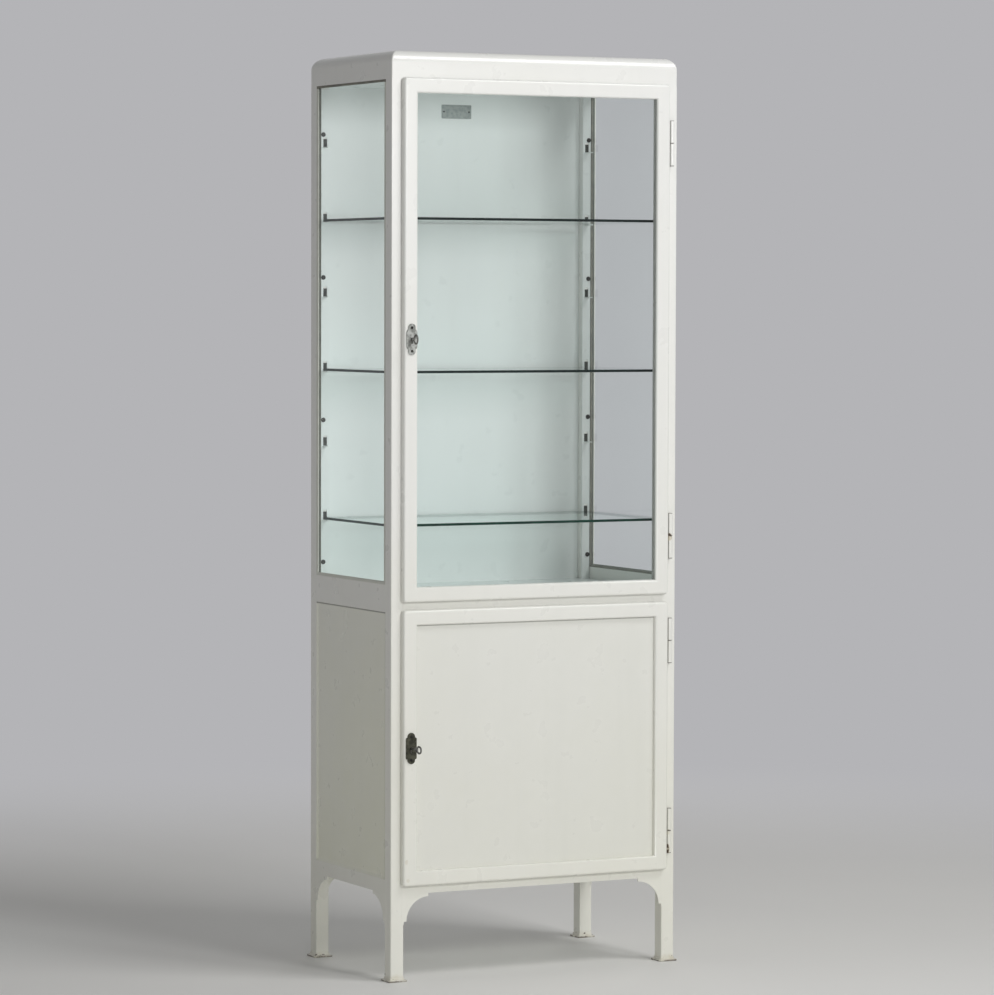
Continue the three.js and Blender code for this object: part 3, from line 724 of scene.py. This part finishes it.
def makeKey(which):
    low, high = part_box(which + "_key")
    plateLow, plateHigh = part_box(which + "_escutcheon")
    look, bar = locks[which], key["bar"] / 2
    middle = (plateLow + plateHigh) / 2
    bowMiddle = (middle.x, low.y + look["bowLength"] / 2, middle.z)
    deselectAll()
    bpy.ops.mesh.primitive_torus_add(
        location=bowMiddle, rotation=(0, math.pi / 2, 0),
        major_radius=look["bowHeight"] / 2 - bar, minor_radius=bar, major_segments=48, minor_segments=14)
    bpy.context.object.scale = (1, 1, key["thinning"])
    bow = settle(which + "KeyAndBow")
    selectOnly(bow)
    bpy.ops.object.mode_set(mode="EDIT")
    bpy.ops.mesh.select_all(action="SELECT")
    bpy.ops.transform.resize(value=(1, look["bowLength"] / look["bowHeight"], 1), center_override=bowMiddle)
    bpy.ops.object.mode_set(mode="OBJECT")
    start = low.y + look["bowLength"] - bar
    shaftMiddle = (middle.x, (start + high.y) / 2, middle.z)
    weldOn(bow, rod("shaft", shaftMiddle, key["shaft"], high.y - start, "y", sides=32))
    collarMiddle = (middle.x, start + key["collarLength"], middle.z)
    collar = rod("collar", collarMiddle, key["collar"], key["collarLength"], "y", sides=32)
    roundEdges(collar, lambda e: not runsAlong(e, 1), key["collarRound"], segments=3)
    weldOn(bow, collar)
    half = key["bitThickness"] / 2
    bitEnd = high.y - key["bitInset"]
    weldOn(bow, block("bit", (middle.x - half, bitEnd - key["bitLength"], middle.z - key["bitDrop"]),
                      (middle.x + half, bitEnd, middle.z - key["shaft"] / 2)))
    finishPiece(bow, which + "_key", keySteel, [which + "_key"])


for which in locks:
    makeEscutcheon(which)
    makeKey(which)
print("locks: two key plates, two keys")


# Feet: thin plates welded under the legs

foot = {"corner": 0.004, "edge": 0.0009, "plate": 0.0034, "weldReach": 0.0016, "weldHeight": 0.0028,
        "weldSunk": 0.001, "weldCorner": 0.003, "weldRound": 0.0012}


def makeFoot(corner):
    low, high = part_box(corner + "_foot")
    legLow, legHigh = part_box(corner + "_post")
    top, reach = low.z + foot["plate"], foot["weldReach"]
    weldTop = high.z + foot["weldHeight"]
    piece = block(plainName("footPlate", corner), low, (high.x, high.y, top))
    roundEdges(piece, lambda e: runsAlong(e, 2), foot["corner"])
    weld = block("weld", (legLow.x - reach, legLow.y - reach, top - foot["weldSunk"]),
                 (legHigh.x + reach, legHigh.y + reach, weldTop))
    roundEdges(weld, lambda e: runsAlong(e, 2), foot["weldCorner"], segments=3)
    roundEdges(weld, lambda e: middleOf(e).z > weldTop - closeBy, foot["weldRound"], segments=2)
    weldOn(piece, weld)
    softenEdges(piece, foot["edge"], angle=60)
    finishPiece(piece, "cabinet", whiteFrame, [corner + "_foot"], angle=50)


for corner in corners:
    makeFoot(corner)
print("feet: four plates")


# Window putty: a sloped bead between the glass and the frame, on the outside

bead = {"reach": 0.006, "topReach": 0.0042, "glassSide": 0.0002, "rim": 0.001, "painted": 0.0045,
        "slope": {"left": 0.0019, "right": 0.0005}, "bare": {"left": 0.8, "right": 0.0}}


def makeWindowPutty(side):
    low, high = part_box(side + "_glazing_channel")
    paneLow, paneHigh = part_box(side + "_side_glass")
    right = side == "right"
    outer = postHigh.x if right else -postHigh.x
    inner = paneHigh.x + bead["glassSide"] if right else paneLow.x - bead["glassSide"]
    reach, rim = bead["reach"], bead["rim"]
    sightTop = high.z - bead["topReach"]
    near, far = min(outer, inner), max(outer, inner)
    piece = block(side + "WindowPutty", (near, low.y, low.z), (far, high.y, high.z))
    carve(piece, block("sight", (near - cutPast, low.y + reach, low.z + reach),
                       (far + cutPast, high.y - reach, sightTop)))

    def onSight(edge):  # the outer rim of the sight
        spot = middleOf(edge)
        inside = low.y + rim < spot.y < high.y - rim and low.z + rim < spot.z < high.z - rim
        return inside and abs(spot.x - outer) < closeBy and isCorner(edge)

    roundEdges(piece, onSight, bead["slope"][side], segments=3)
    edge = abs(outer) - bead["painted"]
    finish = putty(side + "Putty", high.y - reach, sightTop, bead["bare"][side], edge)
    finishPiece(piece, "cabinet", finish)


for side in ("left", "right"):
    makeWindowPutty(side)
print("windows: putty beads")


# Shelves: plate glass with ground edges

shelf = {"corner": 0.0035, "rim": 0.0006,
         "edges": {"lower": tone(8, 66, 52), "middle": tone(6, 34, 30), "upper": tone(6, 28, 24)}}


def makeShelf(which):
    low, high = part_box(which + "_glass_shelf")
    piece = block(which + "ShelfPlate", low, high)
    roundEdges(piece, lambda e: runsAlong(e, 2), shelf["corner"])
    softenEdges(piece, shelf["rim"], angle=50)
    finish = shelfGlass(which + "ShelfGlass", low, high, shelf["edges"][which])
    finishPiece(piece, "cabinet", finish, [which + "_glass_shelf"])


for which in shelf["edges"]:
    makeShelf(which)
print("shelves: three plates")


# Shelf strips: their screws, and dark sheets of painted shade in their windows

stripScrew = {"radius": 0.0045, "first": 0.0484, "pitch": 0.2764, "count": 4, "offCentre": 0.004,
              "strip": 0.0015, "firstTurn": 0.7, "nextTurn": 1.3}
# the strips' windows, and the dark sheets of painted shade set into them
stripWindow = {"first": 0.131, "pitch": 0.1445, "count": 6, "height": 0.0155, "width": 0.0078,
               "back": 0.0012, "edge": 0.0003}


def makeStripScrews(corner, number, postFace, facing):
    low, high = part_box(corner + "_shelf_strip")
    outward = 1 if corner.endswith("right") else -1
    face = postFace + facing * stripScrew["strip"]
    across = (low.x + high.x) / 2 + outward * stripScrew["offCentre"]
    heads = []
    for step in range(stripScrew["count"]):
        up = low.z + stripScrew["first"] + stripScrew["pitch"] * step
        turn = stripScrew["firstTurn"] + stripScrew["nextTurn"] * step + number  # each strip its own way
        heads.append(makeScrew("head", (across, face, up), stripScrew["radius"], facing, turn))
    finishPiece(gather(plainName("stripScrews", corner), heads), "cabinet", blackScrew)


# a dark sheet in each window of a strip: painted shade
def makeSlotShadeSheets(corner, postFace, facing):
    low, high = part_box(corner + "_shelf_strip")
    middle, half = (low.x + high.x) / 2, stripWindow["width"] / 2
    behind, front = sorted((postFace, postFace + facing * stripWindow["back"]))
    shadeSheets = []
    for step in range(stripWindow["count"]):
        base = low.z + stripWindow["first"] + stripWindow["pitch"] * step
        top = base + stripWindow["height"]
        back = block("back", (middle - half, behind, base), (middle + half, front, top))
        softenEdges(back, stripWindow["edge"])
        shadeSheets.append(back)
    finishPiece(gather(plainName("stripSlotShadeSheets", corner), shadeSheets), "cabinet", slotShadeSheet)


for number, corner in enumerate(corners):
    facing = 1 if corner.startswith("front") else -1
    postFace = postHigh.y if facing > 0 else rearLow.y
    makeStripScrews(corner, number, postFace, facing)
    makeSlotShadeSheets(corner, postFace, facing)
print("shelf strips: screws and window backs")


# Bare plate on the back wall

plate = {"corner": 0.0015, "rim": 0.0022, "sink": 0.0004,
         "rivet": 0.0016, "rivetInset": 0.005, "rivetTurn": 0.4}


def makeBlankPlate():
    low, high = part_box("blank_plate")
    piece = block("barePlate", low, high)
    bpy.ops.object.mode_set(mode="EDIT")
    choose("FACE", lambda f: looksAlong(f, 1, -1))
    bpy.ops.mesh.inset(thickness=plate["rim"], depth=0)
    bpy.ops.mesh.inset(thickness=plate["sink"], depth=-plate["sink"])
    bpy.ops.object.mode_set(mode="OBJECT")
    roundEdges(piece, lambda e: runsAlong(e, 1), plate["corner"])
    finishPiece(piece, "cabinet", platePlain, ["blank_plate"], angle=20)
    face, middle = low.y + plate["sink"], (low.z + high.z) / 2
    rivets = [makeScrew("rivet", (x, face, middle), plate["rivet"], -1, plate["rivetTurn"])
              for x in (low.x + plate["rivetInset"], high.x - plate["rivetInset"])]
    finishPiece(gather("barePlateRivets", rivets), "cabinet", blackScrew)


makeBlankPlate()
print("plate: bare, with two rivets")


# Lower side panels: pressed in from the rails round them

sidePanel = {"slope": 0.0050, "sink": 0.0026, "flush": 0.0003, "round": 0.0015,
             "foldFrom": 0.05, "foldTo": 1.2}  # radians: the folds of the pressing


def makeSidePanel(side):
    low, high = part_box(side + "_lower_panel")
    outward = 1 if side == "right" else -1
    face = postHigh.x - sidePanel["flush"]
    near, far = (low.x, face) if outward > 0 else (-face, high.x)
    piece = block(side + "PanelPressing", (near, low.y, low.z), (far, high.y, high.z))
    bpy.ops.object.mode_set(mode="EDIT")
    choose("FACE", lambda f: looksAlong(f, 0, outward))
    bpy.ops.mesh.inset(thickness=sidePanel["slope"], depth=-sidePanel["sink"])
    bpy.ops.object.mode_set(mode="OBJECT")

    def isFold(edge):
        return sidePanel["foldFrom"] < edge.calc_face_angle(0) < sidePanel["foldTo"]

    roundEdges(piece, isFold, sidePanel["round"], segments=3)
    finishPiece(piece, "cabinet", whiteSide, [side + "_lower_panel"])


for side in ("left", "right"):
    makeSidePanel(side)
print("side panels: two pressings")


# Welds: filled seams between the posts and the rails, dressed flush before painting

bodyMiddle = Vector((0, (postLow.y + rearHigh.y) / 2, 0))
crossRails = ("front_apron", "rear_apron", "front_mid_rail")
sideRails = ("left_apron", "left_mid_rail", "right_apron", "right_mid_rail")
seam = {"reach": 0.0027, "proud": 0.0002, "sunk": 0.0015, "tail": 0.006, "lean": 0.0022}


def makeSeam(node, axis, end):  # at one end of a rail, on its outer face
    low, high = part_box(node)
    across = 1 - axis
    outward = 1 if low[across] > bodyMiddle[across] else -1
    face = high[across] if outward > 0 else low[across]
    joint = (low, high)[end][axis]
    near, far = [0, 0, low.z], [0, 0, high.z]
    near[axis], far[axis] = joint - seam["reach"], joint + seam["reach"]
    near[across], far[across] = sorted((face + outward * seam["proud"], face - outward * seam["sunk"]))
    piece = block("seam", near, far)
    if node.endswith("apron"):  # the weld runs out below the bracket
        bpy.ops.object.mode_set(mode="EDIT")
        choose("FACE", lambda f: looksAlong(f, 2, -1))
        lean = [0, 0, -seam["tail"]]
        lean[axis] = seam["lean"] * (-1 if end == 0 else 1)
        bpy.ops.transform.translate(value=lean)
        bpy.ops.object.mode_set(mode="OBJECT")
    softenEdges(piece, seam["proud"], angle=30)
    return piece


seams = [makeSeam(rail, 0, end) for rail in crossRails for end in (0, 1)]
seams += [makeSeam(rail, 1, end) for rail in sideRails for end in (0, 1)]
finishPiece(gather("dressedSeams", seams), "cabinet", whiteFrame)
print("welds: seams filled")


# Floor, light and camera

stage = {"floor": tone(240, 239, 236), "floorDull": tone(222, 221, 218), "dullNoise": (1.5, 2.0),
         "dullShare": 0.3, "floorRough": 0.75, "backdrop": tone(180, 180, 183), "size": 60.0,
         "floorReach": 1.2, "floorFade": 3.6, "ambient": 0.21}
lamps = {
    "key": {"place": (0.65, -3.6, 1.85), "aim": (0, 0, 1.2), "size": 0.7, "power": 36},
    "fill": {"place": (-1.6, -3.8, 0.7), "aim": (0, 0, 0.6), "size": 1.2, "power": 23},
    "top": {"place": (1.6, -2.3, 4.1), "aim": (0, 0, 1.1), "size": 1.5, "power": 58},
    "rear": {"place": (2.6, 4.2, 0.9), "aim": (0, 0, 0.9), "size": 2.0, "power": 55},
}
view = {"place": (-3.7000, -7.2703, 1.2877), "yaw": 26.95, "pitch": 2.71, "roll": 0.15, "clipEnd": 200,
        "focal": 4213.7, "longSide": 995, "sensor": 36.0}  # the focal length is in pixels


def seenDirectly(spot):  # by the camera, in a mirror or through glass
    path = spot.node("LightPath", out="Is Camera Ray")
    return path.most(path.other("Is Glossy Ray")).most(path.other("Is Transmission Ray"))


def addFloor():
    deselectAll()
    bpy.ops.mesh.primitive_plane_add(size=stage["size"])
    floor = settle("paleFloor")
    material, spot = newFinish("paleFloor")
    away = spot.node("VectorMath", {"operation": "LENGTH"}, {0: spot}, "Value")
    fade = away.ease(stage["floorReach"], stage["floorFade"]) * seenDirectly(spot)
    dulled = spot.noise(*stage["dullNoise"]) * stage["dullShare"]
    lit = spot.node("BsdfPrincipled", {}, {
        "Base Color": spot.blend(dulled, stage["floor"], stage["floorDull"]),
        "Roughness": stage["floorRough"]})
    plainBack = spot.node("Emission", {}, {"Color": stage["backdrop"], "Strength": 1.0})
    showSurface(spot, spot.node("MixShader", {}, {0: fade, 1: lit, 2: plainBack}))
    floor.data.materials.append(material)


def addWorld():
    world = bpy.data.worlds.new("softStudio")
    world.use_nodes = True
    world.node_tree.nodes.clear()
    air = Wire(world.node_tree)
    soft = air.node("Background", {}, {"Color": (1.0, 1.0, 1.0, 1.0), "Strength": stage["ambient"]})
    back = air.node("Background", {}, {"Color": stage["backdrop"], "Strength": 1.0})
    mixed = air.node("MixShader", {}, {0: seenDirectly(air), 1: soft, 2: back})
    air.node("OutputWorld", {}, {"Surface": mixed})
    bpy.context.scene.world = world


def addLamps():
    for name, lamp in lamps.items():
        deselectAll()
        bpy.ops.object.light_add(type="AREA", location=lamp["place"])
        light = bpy.context.object
        light.name = name + "Lamp"
        light.data.shape = "SQUARE"
        light.data.size = lamp["size"]
        light.data.energy = lamp["power"]
        light.visible_glossy = name != "rear"  # it would show as a white patch in the shelves
        aim = Vector(lamp["aim"]) - Vector(lamp["place"])
        light.rotation_euler = aim.to_track_quat("-Z", "Y").to_euler()


def addCamera():
    deselectAll()
    bpy.ops.object.camera_add(location=view["place"])
    camera = bpy.context.object
    camera.data.sensor_width = view["sensor"]
    camera.data.lens = view["focal"] * view["sensor"] / view["longSide"]
    camera.data.clip_end = view["clipEnd"]
    yaw, pitch, roll = (math.radians(view[turn]) for turn in ("yaw", "pitch", "roll"))
    turned = Matrix.Rotation(-yaw, 3, "Z") @ Matrix.Rotation(math.pi / 2 - pitch, 3, "X")
    camera.rotation_euler = (turned @ Matrix.Rotation(roll, 3, "Z")).to_euler()
    bpy.context.scene.camera = camera


addFloor()
addWorld()
addLamps()
addCamera()
bpy.context.scene.view_settings.view_transform = "Standard"
print("floor, light and camera: done")
